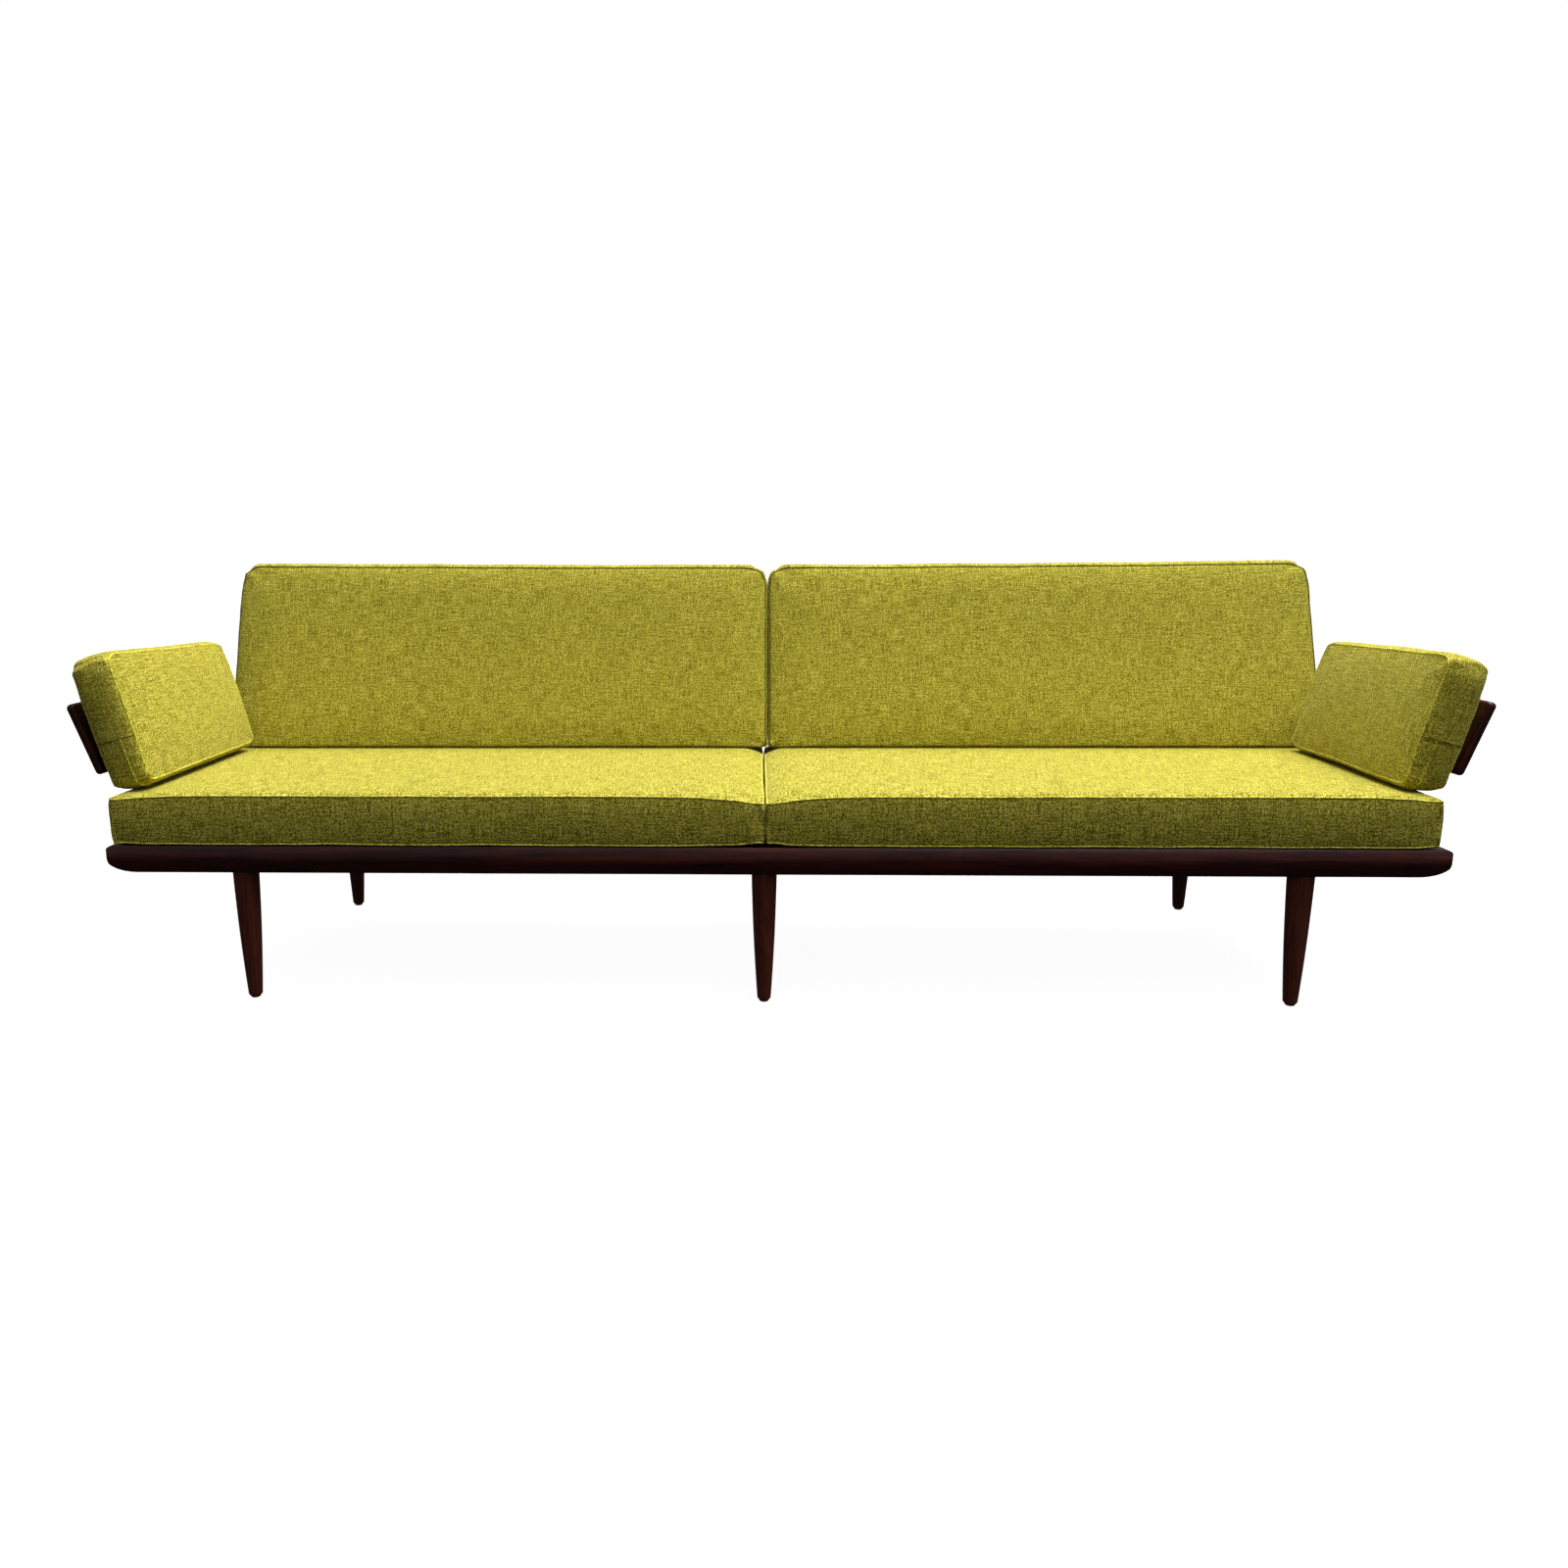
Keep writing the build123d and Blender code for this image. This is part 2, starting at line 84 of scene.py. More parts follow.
# Left and right differ a little. The drops are of the top edge, at the inner and the outer end.
BACK_CARRIED_ON = {"left": 0.012, "right": 0.009}
ARM_LONGER = {"left": 0.024, "right": 0.014}
ARM_FOOT_SHEAR = {"left": 0.10, "right": 0.35}  # share of the arm's lean
TOP_DROPS = {
    ("back", "left"): (0.0075, -0.004),
    ("back", "right"): (0.0075, 0.0045),
    ("arm", "left"): (0.009, -0.006),
    ("arm", "right"): (0.016, 0.003),
}

# Sewing.
WELT_RADIUS = 0.0017
STITCH_PITCH = 0.0062
STITCH_LENGTH = 0.0042
STITCH_RADIUS = 0.00055
STITCH_SIDES = 6
STITCH_SHAPE = ((-0.5, 0.35), (-0.36, 1.0), (0.36, 1.0), (0.5, 0.35))  # place along, and fullness
STITCH_INSET = 0.58  # place of the stitches between the rim and the panel's next cell
CROSS_SEAM_RADIUS = 0.0012
CROSS_SEAM_DROP = 0.03  # below the middle of the arm's end
DOWN_SEAM_RADIUS = 0.0013
DOWN_SEAM_CELLS = 18

# Colours.
TWEED_DARK = (0.120, 0.098, 0.003)
TWEED_MIDDLE = (0.41, 0.357, 0.018)
TWEED_LIGHT = (0.80, 0.73, 0.135)
ROSE_DARK = (0.008, 0.0020, 0.0016)
ROSE_LIGHT = (0.085, 0.0130, 0.0085)
# The legs' rosewood is a lighter, redder copy of the rails' own: painted light where the legs are lit and
# the rails shaded.
LIT_LEG_DARK_TONE = (0.055, 0.0120, 0.0070)
LIT_LEG_LIGHT_TONE = (0.210, 0.0500, 0.0280)
PALE_DARK = (0.30, 0.17, 0.08)
PALE_LIGHT = (0.52, 0.34, 0.18)
WHITE = (1.0, 1.0, 1.0)
BELOW_LIGHT = (0.03, 0.03, 0.03)
SIDE_LIGHT = (0.16, 0.16, 0.16)
ABOVE_LIGHT = (0.55, 0.55, 0.55)


# ---------------------------------------------------------------- materials
def new_material(name):
    material = bpy.data.materials.new(name)
    material.use_nodes = True
    tree = material.node_tree
    tree.nodes.clear()
    output = tree.nodes.new("ShaderNodeOutputMaterial")
    shader = tree.nodes.new("ShaderNodeBsdfPrincipled")
    tree.links.new(shader.outputs["BSDF"], output.inputs["Surface"])
    return material, tree, shader


def node(tree, kind, **settings):
    made = tree.nodes.new(kind)
    for key, value in settings.items():
        setattr(made, key, value)
    return made


def math_node(tree, operation, first, second=None):
    made = node(tree, "ShaderNodeMath", operation=operation)
    for index, value in enumerate((first, second)):
        if value is None:
            continue
        if isinstance(value, (int, float)):
            made.inputs[index].default_value = value
        else:
            tree.links.new(value, made.inputs[index])
    return made.outputs["Value"]


def weighted(tree, first, first_share, second, second_share):
    """The sum of two values, each in its share."""
    return math_node(tree, "ADD", math_node(tree, "MULTIPLY", first, first_share),
                     math_node(tree, "MULTIPLY", second, second_share))


def noise_node(tree, vector, scale, detail=2.0, roughness=0.5, distortion=0.0):
    made = node(tree, "ShaderNodeTexNoise")
    made.inputs["Scale"].default_value = scale
    made.inputs["Detail"].default_value = detail
    made.inputs["Roughness"].default_value = roughness
    made.inputs["Distortion"].default_value = distortion
    tree.links.new(vector, made.inputs["Vector"])
    return made.outputs["Fac"]


def stretched(tree, vector, scale):
    mapping = node(tree, "ShaderNodeMapping")
    mapping.inputs["Scale"].default_value = scale
    tree.links.new(vector, mapping.inputs["Vector"])
    return mapping.outputs["Vector"]


def ramp(tree, factor, stops):
    made = node(tree, "ShaderNodeValToRGB")
    elements = made.color_ramp.elements
    while len(elements) < len(stops):
        elements.new(0.5)
    for element, (place, colour) in zip(elements, stops):
        element.position = place
        element.color = (*colour, 1.0)
    tree.links.new(factor, made.inputs["Fac"])
    return made.outputs["Color"]


def mix_colour(tree, factor, first, second, blend_type="MIX"):
    made = node(tree, "ShaderNodeMix", data_type="RGBA", blend_type=blend_type)
    if isinstance(factor, (int, float)):
        made.inputs["Factor"].default_value = factor
    else:
        tree.links.new(factor, made.inputs["Factor"])
    for socket, value in ((made.inputs[6], first), (made.inputs[7], second)):
        if isinstance(value, tuple):
            socket.default_value = (*value, 1.0)
        else:
            tree.links.new(value, socket)
    return made.outputs[2]


def bump(tree, shader, height, distance, strength):
    made = node(tree, "ShaderNodeBump")
    made.inputs["Distance"].default_value = distance
    made.inputs["Strength"].default_value = strength
    tree.links.new(height, made.inputs["Height"])
    tree.links.new(made.outputs["Normal"], shader.inputs["Normal"])


def tweed(name, vector_kind, lift=1.0, spread=0.07):
    """Heathered wool: slubby warp and weft yarns of three tones over a plain basket weave.

    The lift brightens all three tones, and a narrower spread sets them harder apart.
    """
    material, tree, shader = new_material(name)
    if vector_kind == "weave":
        source = node(tree, "ShaderNodeUVMap", uv_map="weave").outputs["UV"]
    else:
        source = node(tree, "ShaderNodeTexCoord").outputs["Object"]
    warp = noise_node(tree, stretched(tree, source, (560, 200, 300)), 1.0, 2.5, 0.62)
    weft = noise_node(tree, stretched(tree, source, (200, 560, 300)), 1.0, 2.5, 0.62)
    slub = noise_node(tree, source, 330.0, 3.0, 0.7)
    cloud = noise_node(tree, source, 9.0, 3.0, 0.55)
    patch = noise_node(tree, source, 55.0)
    yarns = weighted(tree, warp, 0.5, weft, 0.5)
    speck = weighted(tree, yarns, 0.62, slub, 0.38)
    long_weft = noise_node(tree, stretched(tree, source, (26, 420, 300)), 1.0, 1.0)
    long_warp = noise_node(tree, stretched(tree, source, (420, 26, 300)), 1.0, 1.0)
    slubs = math_node(tree, "SUBTRACT", long_weft, long_warp)
    uneven = weighted(tree, math_node(tree, "SUBTRACT", patch, 0.5), 0.04, slubs, 0.14)
    tone = math_node(tree, "ADD", speck, uneven)
    dark, middle, light = (
        tuple(min(1, lift * value) for value in colour)
        for colour in (TWEED_DARK, TWEED_MIDDLE, TWEED_LIGHT)
    )
    heather = ramp(tree, tone, ((0.5 - spread, dark), (0.5, middle), (0.5 + spread, light)))
    shade = ramp(tree, cloud, ((0.3, (0.93, 0.93, 0.90)), (0.7, WHITE)))
    colour = mix_colour(tree, 1.0, heather, shade, "MULTIPLY")
    tree.links.new(colour, shader.inputs["Base Color"])
    split = node(tree, "ShaderNodeSeparateXYZ")
    tree.links.new(source, split.inputs["Vector"])
    yarn_pitch = 0.0030
    turns = 2 * math.pi / yarn_pitch
    across = math_node(tree, "SINE", math_node(tree, "MULTIPLY", split.outputs["X"], turns))
    along = math_node(tree, "SINE", math_node(tree, "MULTIPLY", split.outputs["Y"], turns))
    weave = math_node(tree, "MULTIPLY", across, along)
    lumps = math_node(tree, "ADD", math_node(tree, "MULTIPLY", weave, 0.22), speck)
    bump(tree, shader, lumps, 0.0016, 0.75)
    shader.inputs["Roughness"].default_value = 0.92
    shader.inputs["Sheen Weight"].default_value = 0.18
    shader.inputs["Sheen Roughness"].default_value = 0.45
    shader.inputs["Sheen Tint"].default_value = (0.9, 0.88, 0.45, 1.0)
    shader.inputs["Specular IOR Level"].default_value = 0.12
    return material


def timber(name, grain, dark, light, roughness=0.36, coat=0.06, ring=38.0):
    """Oiled hardwood: long streaks along the grain, fine pores, worn sheen."""
    material, tree, shader = new_material(name)
    source = node(tree, "ShaderNodeTexCoord").outputs["Object"]
    along = {"X": (0.06, 1.0, 1.0), "Y": (1.0, 0.06, 1.0), "Z": (1.0, 1.0, 0.06)}[grain]
    lengthwise = stretched(tree, source, along)
    figure = noise_node(tree, lengthwise, ring, 4.0, 0.6, 0.9)
    streak = noise_node(tree, lengthwise, ring * 7, 3.0, 0.65)
    pores = noise_node(tree, stretched(tree, source, tuple(0.5 * value for value in along)), 900.0)
    patch = noise_node(tree, source, 5.0)
    tone = weighted(tree, figure, 0.6, streak, 0.4)
    middle = tuple((a + b) / 2 for a, b in zip(dark, light))
    colour = ramp(tree, tone, ((0.36, dark), (0.52, middle), (0.66, light)))
    aged = ramp(tree, patch, ((0.3, (0.78, 0.74, 0.72)), (0.7, WHITE)))
    colour = mix_colour(tree, 1.0, colour, aged, "MULTIPLY")
    tree.links.new(colour, shader.inputs["Base Color"])
    gloss = math_node(tree, "ADD", math_node(tree, "MULTIPLY", streak, 0.16), roughness - 0.08)
    tree.links.new(gloss, shader.inputs["Roughness"])
    relief = math_node(tree, "ADD", math_node(tree, "MULTIPLY", pores, 0.5), streak)
    bump(tree, shader, relief, 0.0004, 0.45)
    shader.inputs["Coat Weight"].default_value = coat
    shader.inputs["Coat Roughness"].default_value = 0.28
    shader.inputs["Specular IOR Level"].default_value = 0.27
    return material


def metal(name, colour, roughness, metallic=1.0):
    """Plated or painted metal with brushed streaks and duller patches."""
    scratch = 0.12
    material, tree, shader = new_material(name)
    source = node(tree, "ShaderNodeTexCoord").outputs["Object"]
    brushed = noise_node(tree, stretched(tree, source, (1.0, 1.0, 0.08)), 700.0, 3.0, 0.6)
    dull = noise_node(tree, source, 35.0, 3.0, 0.6)
    duller = tuple(0.72 * value for value in colour)
    tree.links.new(ramp(tree, dull, ((0.35, duller), (0.65, colour))), shader.inputs["Base Color"])
    amount = math_node(tree, "MULTIPLY", math_node(tree, "ADD", brushed, dull), scratch)
    tree.links.new(math_node(tree, "ADD", amount, roughness - scratch), shader.inputs["Roughness"])
    bump(tree, shader, brushed, 0.0002, 0.25)
    shader.inputs["Metallic"].default_value = metallic
    return material


WOODS = {axis: timber(f"dark_hardwood_{axis}", axis, ROSE_DARK, ROSE_LIGHT) for axis in "XY"}
# The legs get the lighter copy of the rosewood, with painted light in its colour.
WOODS["Z"] = timber("dark_hardwood_Z", "Z", LIT_LEG_DARK_TONE, LIT_LEG_LIGHT_TONE, ring=60.0)
PALE_WOODS = {
    axis: timber(f"pale_hardwood_{axis}", axis, PALE_DARK, PALE_LIGHT, 0.55, 0.0)
    for axis in "XY"
}
STEEL = metal("dark_steel", (0.035, 0.035, 0.038), 0.48, 0.35)
ZINC = metal("zinc_steel", (0.55, 0.53, 0.49), 0.36)
BRASS = metal("aged_brass", (0.62, 0.44, 0.19), 0.34)
NYLON = metal("dark_nylon", (0.045, 0.040, 0.038), 0.6, 0.0)
FABRIC = tweed("wool_tweed", "weave")
SEAT_FABRIC = tweed("wool_tweed_seat", "weave", spread=0.045)
# The welts and the arms' down seams: the tweed lightened as a painted highlight, where these thin lines
# catch the light.
WELT_PAINTED_HIGHLIGHT = tweed("wool_tweed_welt_painted_highlight", "object", 1.9)
THREAD = tweed("sewing_thread", "object", 1.6)
# The backs' welts and the arms' cross seams: the tweed darkened as painted shadow in the seam lines.
SEAM_SHADOW = tweed("wool_tweed_seam_painted_shadow", "object", 0.30)


def cad_material(name):
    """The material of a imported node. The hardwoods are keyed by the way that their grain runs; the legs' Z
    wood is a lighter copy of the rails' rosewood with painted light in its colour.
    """
    if name.startswith("leg_") and name != "leg_studs":
        return WOODS["Z"]
    if name in ("front_rail", "rear_rail") or name.startswith("back_board_") and "screws" not in name:
        return WOODS["X"]
    if name.startswith("end_rail") or name == "centre_rail" or name in ("arm_board_left", "arm_board_right"):
        return WOODS["Y"]
    if name.startswith("ledger"):
        return PALE_WOODS["X"]
    if name.startswith("seat_slats") or name == "joint_dowels":
        return PALE_WOODS["Y"]
    if name in ("back_brackets", "corner_plates") or name.startswith(("hinge_boxes", "arm_levers")):
        return STEEL
    if name.startswith("wing_nuts"):
        return BRASS
    if name == "foot_glides":
        return NYLON
    return ZINC


for name, part in frame["nodes"].items():
    part.data.materials.clear()
    part.data.materials.append(cad_material(name))


# ---------------------------------------------------------------- cushions
class Pad:
    """A boxed cushion as a closed quad mesh: front panel, boxing strip and rear panel.

    Its own axes are u along the length, v across or up, and w from the rear rim to the front rim.
    The rims are the sewn edges. Between them the boxing stands out by the bulge, and inside
    them the panels rise to the crown, with a roll-off near the rim as on a firm filling.
    """

    def __init__(self, name, place, size, corners, crown, bulges, roll=0.045):
        self.name = name
        self.place = place
        self.length, self.width, self.thick = size
        self.corners = corners
        self.crown = crown
        self.bulges = bulges
        self.roll = roll
        self.across = self.knots(self.length, max(self.corners), max(self.corners))
        self.along = self.knots(self.width, *self.corners)
        self.columns = len(self.across) - 1
        self.lines = len(self.along) - 1
        self.build()

    @staticmethod
    def knots(span, low, high):
        """Grid places along one side, closer together over the rounded corners."""
        middle = max(6, round((span - low - high) / PAD_CELL))
        places = [low * step / CORNER_CELLS for step in range(CORNER_CELLS)]
        places += [low + (span - low - high) * step / middle for step in range(middle)]
        places += [span - high + high * step / CORNER_CELLS for step in range(CORNER_CELLS + 1)]
        return [place - span / 2 for place in places]

    def corner_at(self, u, v):
        """The corner radius near a point, and how far the point is into the corner each way."""
        corner = self.corners[1] if v > 0 else self.corners[0]
        return corner, abs(u) - self.length / 2 + corner, abs(v) - self.width / 2 + corner

    def rim_point(self, column, line):
        """A grid point, with the square corners drawn in to rounded ones."""
        u = self.across[column]
        v = self.along[line]
        corner, du, dv = self.corner_at(u, v)
        if du > 0 and dv > 0:
            scale = max(du, dv) / math.hypot(du, dv)
            u = math.copysign(abs(u) - du + du * scale, u)
            v = math.copysign(abs(v) - dv + dv * scale, v)
        return u, v

    def outward(self, u, v):
        """The direction that the boxing faces at a rim point."""
        corner, du, dv = self.corner_at(u, v)
        du, dv = max(0, du), max(0, dv)
        reach = math.hypot(du, dv) or 1
        return math.copysign(du / reach, u), math.copysign(dv / reach, v)

    def swell(self, u, v):
        """How far a panel point has risen to the crown, from 0 at the rim to 1."""
        from_side = self.length / 2 - abs(u)
        from_end = self.width / 2 - abs(v)
        side = 1 - math.exp(-max(0, from_side) / self.roll)
        end = 1 - math.exp(-max(0, from_end) / self.roll)
        return side * end

    @staticmethod
    def row_share(row):
        """A boxing row's place from the rear rim, 0, to the front rim, 1, closer near the rims."""
        return (1 - math.cos(math.pi * row / BOXING_ROWS)) / 2

    def edge_cells(self):
        """The panel's rim as grid places, once round."""
        cells = [(c, 0) for c in range(self.columns)]
        cells += [(self.columns, l) for l in range(self.lines)]
        cells += [(c, self.lines) for c in range(self.columns, 0, -1)]
        cells += [(0, l) for l in range(self.lines, 0, -1)]
        return cells

    def build(self):
        """Makes the points and the faces, and each face's place on the weave."""
        points = []
        front = {}
        rear = {}
        for column in range(self.columns + 1):
            for line in range(self.lines + 1):
                u, v = self.rim_point(column, line)
                rise = self.crown * self.swell(u, v)
                front[column, line] = len(points)
                points.append((u, v, self.thick / 2 + rise))
                rear[column, line] = len(points)
                points.append((u, v, -self.thick / 2 - REAR_CROWN_SHARE * rise))
        edge = self.edge_cells()
        rings = [[rear[cell] for cell in edge]]
        for row in range(1, BOXING_ROWS):
            ring = []
            share = self.row_share(row)
            stand = (1 - abs(2 * share - 1) ** 3) ** (1 / 3)
            for cell in edge:
                u, v = self.rim_point(*cell)
                out_u, out_v = self.outward(u, v)
                ring.append(len(points))
                u += self.bulges[0] * stand * out_u
                v += self.bulges[1] * stand * out_v
                points.append((u, v, self.thick * (share - 0.5)))
            rings.append(ring)
        rings.append([front[cell] for cell in edge])
        faces = []
        coords = []
        for column in range(self.columns):
            for line in range(self.lines):
                cells = [(column, line), (column + 1, line), (column + 1, line + 1), (column, line + 1)]
                flat = [self.rim_point(*cell) for cell in cells]
                faces.append([front[cell] for cell in cells])
                coords.append(flat)
                faces.append([rear[cell] for cell in reversed(cells)])
                start_u, start_v = REAR_WEAVE_START
                coords.append([(u + start_u, v + start_v) for u, v in reversed(flat)])
        lengths = [0.0]
        for start, end in zip(edge, edge[1:] + edge[:1]):
            lengths.append(lengths[-1] + math.dist(self.rim_point(*start), self.rim_point(*end)))
        count = len(edge)
        for row in range(BOXING_ROWS):
            low = self.thick * self.row_share(row) + BOXING_WEAVE_START
            high = self.thick * self.row_share(row + 1) + BOXING_WEAVE_START
            below, above = rings[row], rings[row + 1]
            for index in range(count):
                after = (index + 1) % count
                faces.append([below[index], below[after], above[after], above[index]])
                start, end = lengths[index], lengths[index + 1]
                coords.append([(start, low), (end, low), (end, high), (start, high)])
        self.rings = rings
        self.edge = edge
        self.front = front
        self.rear = rear
        self.points = np.array(points)
        self.faces = faces
        self.coords = coords

    def make_piece(self):
        """Makes the mesh piece in world places, with its weave map and its rims as a held group."""
        mesh = bpy.data.meshes.new(self.name)
        self.start = self.points.copy()
        mesh.from_pydata([tuple(p) for p in self.to_world(self.points)], [], self.faces)
        layer = mesh.uv_layers.new(name="weave")
        layer.data.foreach_set("uv", np.array([xy for face in self.coords for xy in face]).ravel())
        mesh.polygons.foreach_set("use_smooth", [True] * len(mesh.polygons))
        mesh.materials.append(SEAT_FABRIC if self.name.startswith("seat") else FABRIC)
        self.piece = bpy.data.objects.new(self.name, mesh)
        bpy.context.collection.objects.link(self.piece)
        rim = self.piece.vertex_groups.new(name="rim")
        rim.add(self.rings[0] + self.rings[-1], RIM_HOLD, "REPLACE")

    def press_foot(self, lean, hinge, reach):
        """Shears the lowest part about the front (1) or rear (-1) rim, so the foot lies level."""
        _, v, w = self.points.T
        share = np.clip(1 - (v + self.width / 2) / reach, 0, 1)
        share = share * share * (3 - 2 * share)
        self.points[:, 1] = v + (hinge * self.thick / 2 - w) * math.tan(lean) * share

    def refit(self):
        """Brings the rims back to their cut size, as a tight filling does."""
        rims = self.rings[0] + self.rings[-1]
        for column in range(2):
            cut, now = self.start[rims, column], self.points[rims, column]
            scale = (cut.max() - cut.min()) / (now.max() - now.min())
            self.points[:, column] = (self.points[:, column] - now.max()) * scale + cut.max()

    def tilt_top(self, inner, inner_drop, outer_drop):
        """Lowers the top edge by one amount at the inner end and another at the outer end."""
        u, v, _ = self.points.T
        share = inner * u / self.length + 0.5
        drop = outer_drop + (inner_drop - outer_drop) * share
        self.points[:, 1] = v - drop * np.clip(v / self.width + 0.5, 0, 1)

    def keep_between(self, low_x, high_x):
        """Flattens the ends where they meet a neighbour."""
        world = self.to_world(self.points)
        world[:, 0] = np.clip(world[:, 0], low_x, high_x)
        self.points = self.to_local(world)

    def soften_corners(self, amount):
        """Draws the rims together at the corners, where a filling never quite reaches."""
        reach = 0.045
        u, v, w = self.points.T
        near = np.exp(-np.hypot(self.length / 2 - abs(u), self.width / 2 - abs(v)) / reach)
        self.points[:, 2] = w * (1 - amount * near)

    def settle(self, inner, dip, lift):
        """Lets the top sink towards the inner end, and lifts the bottom corners at that end."""
        top_reach, corner_reach = 0.07, 0.045
        u, v, w = self.points.T
        gap = np.maximum(0, self.length / 2 - inner * u)
        level = np.clip(w / self.thick + 0.5, 0, 1.2)
        rear = 0.8 + 0.4 * (v / self.width + 0.5)
        sunk = w - dip * rear * np.exp(-gap / top_reach) * level
        near = np.exp(-np.hypot(gap, self.width / 2 - abs(v)) / corner_reach)
        self.points[:, 2] = sunk + lift * near * (1 - np.clip(level, 0, 1))

    def raise_front(self, amount, reach, ends):
        """Lets the front edge stand a little prouder than the ends, which are pressed down."""
        u, v, w = self.points.T
        away = np.clip((self.length / 2 - abs(u)) / ends, 0, 1)
        near = np.exp(-(v + self.width / 2) / reach) * away
        self.points[:, 2] = w + amount * near * np.clip(w / self.thick + 0.5, 0, 1)

    def to_world(self, points):
        matrix = np.array(self.place)
        return points @ matrix[:3, :3].T + matrix[:3, 3]

    def to_local(self, points):
        matrix = np.array(self.place)
        return (points - matrix[:3, 3]) @ matrix[:3, :3]

    def add_cloth(self):
        cloth = self.piece.modifiers.new("cloth", "CLOTH")
        settings = cloth.settings
        settings.quality = 6
        settings.mass = 0.35
        settings.tension_stiffness = 12
        settings.compression_stiffness = 12
        settings.shear_stiffness = 6
        settings.bending_stiffness = 0.6
        settings.air_damping = 2
        settings.use_pressure = True
        settings.uniform_pressure_force = PRESSURE
        settings.vertex_group_mass = "rim"
        settings.pin_stiffness = 1.0
        settings.effector_weights.gravity = 0
        cloth.collision_settings.use_collision = False
        cloth.collision_settings.use_self_collision = False
        cloth.point_cache.frame_end = SIM_FRAMES

    def take_cloth(self, cap):
        """Applies the simulated shape, with each point's move limited."""
        graph = bpy.context.evaluated_depsgraph_get()
        mesh = self.piece.evaluated_get(graph).data
        moved = np.empty(len(mesh.vertices) * 3)
        mesh.vertices.foreach_get("co", moved)
        shift = self.to_local(moved.reshape(-1, 3)) - self.points
        size = np.linalg.norm(shift, axis=1, keepdims=True)
        self.points = self.points + shift * (cap * np.tanh(size / cap) / np.maximum(size, 1e-9))
        self.piece.modifiers.remove(self.piece.modifiers["cloth"])

    def crease(self, seed, sway, pucker):
        """Long shallow waves in the cover, and short folds that run in from the rounded corners."""
        fold_reach, folds = 0.055, 9
        for index, (point, normal) in enumerate(zip(self.points, self.normals())):
            place = Vector(point)
            wave = noise.noise(place * 7.0 + Vector((seed, 2.0 * seed, 0)))
            wave += 0.5 * noise.noise(place * 17.0 + Vector((0, seed, seed)))
            near_u = self.length / 2 - abs(point[0])
            near_v = self.width / 2 - abs(point[1])
            near = math.exp(-math.hypot(near_u, near_v) / fold_reach)
            angle = math.atan2(near_v + 0.02, near_u + 0.02)
            bend = 3 * noise.noise(place * 30.0 + Vector((seed, 0, 0)))
            fold = math.sin(angle * folds + bend) * near
            self.points[index] = point + normal * (sway * wave + pucker * fold)

    def normals(self):
        """Outward directions at the points, from the faces round each one."""
        faces = np.array(self.faces)
        corners = self.points[faces]
        across = np.cross(corners[:, 2] - corners[:, 0], corners[:, 3] - corners[:, 1])
        total = np.zeros_like(self.points)
        for column in range(4):
            np.add.at(total, faces[:, column], across)
        return total / np.maximum(np.linalg.norm(total, axis=1, keepdims=True), 1e-12)

    def draw_in(self, indices, depth):
        """Sinks points along their normals, as a tight seam does."""
        normals = self.normals()
        self.points[indices] -= normals[indices] * depth

    def keep_within(self, low_z, high_z=None, low_w=None):
        """Flattens the cushion where it meets what it rests on, or what rests on it."""
        if low_w is not None:
            self.points[:, 2] = np.maximum(self.points[:, 2], low_w)
        world = self.to_world(self.points)
        world[:, 2] = np.maximum(world[:, 2], low_z)
        if high_z is not None:
            world[:, 2] = np.minimum(world[:, 2], high_z)
        self.points = self.to_local(world)

    def finish(self, body, cad_node):
        """Puts the worked shape into the piece, hangs it on the body that it rides on, and hides the plain
        part that it stands for.
        """
        world = self.to_world(self.points)
        self.piece.data.vertices.foreach_set("co", world.ravel())
        self.piece.data.update()
        smooth = self.piece.modifiers.new("smooth", "SUBSURF")
        smooth.levels = 1
        smooth.render_levels = 1
        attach(self.piece, body)
        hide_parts(cad_node)

    def surface(self):
        """World places of this mesh's own points on the subdivided surface."""
        bpy.context.view_layer.update()
        graph = bpy.context.evaluated_depsgraph_get()
        mesh = self.piece.evaluated_get(graph).data
        places = np.empty(len(mesh.vertices) * 3)
        mesh.vertices.foreach_get("co", places)
        return places.reshape(-1, 3)[: len(self.points)]

    def inner_neighbours(self, panel):
        """For each rim point, the panel point one cell in from it."""
        inner = []
        for column, line in self.edge:
            cell = (min(max(column, 1), self.columns - 1), min(max(line, 1), self.lines - 1))
            inner.append(panel[cell])
        return inner


def resampled(path, pitch):
    """Evenly spaced places and directions along a closed path."""
    path = np.vstack([path, path[:1]])
    steps = np.linalg.norm(np.diff(path, axis=0), axis=1)
    reach = np.concatenate([[0], np.cumsum(steps)])
    marks = np.arange(pitch / 2, reach[-1], pitch)
    places = np.stack([np.interp(marks, reach, path[:, axis]) for axis in range(3)], axis=1)
    look = 0.001
    ahead = np.stack([np.interp(marks + look, reach, path[:, axis]) for axis in range(3)], axis=1)
    along = ahead - places
    return places, along / np.maximum(np.linalg.norm(along, axis=1, keepdims=True), 1e-9)


def sewn_piece(name, data, material, body):
    """A piece of sewing from a mesh or a curve, on the body of its cushion."""
    data.materials.append(material)
    piece = bpy.data.objects.new(name, data)
    bpy.context.collection.objects.link(piece)
    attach(piece, body)


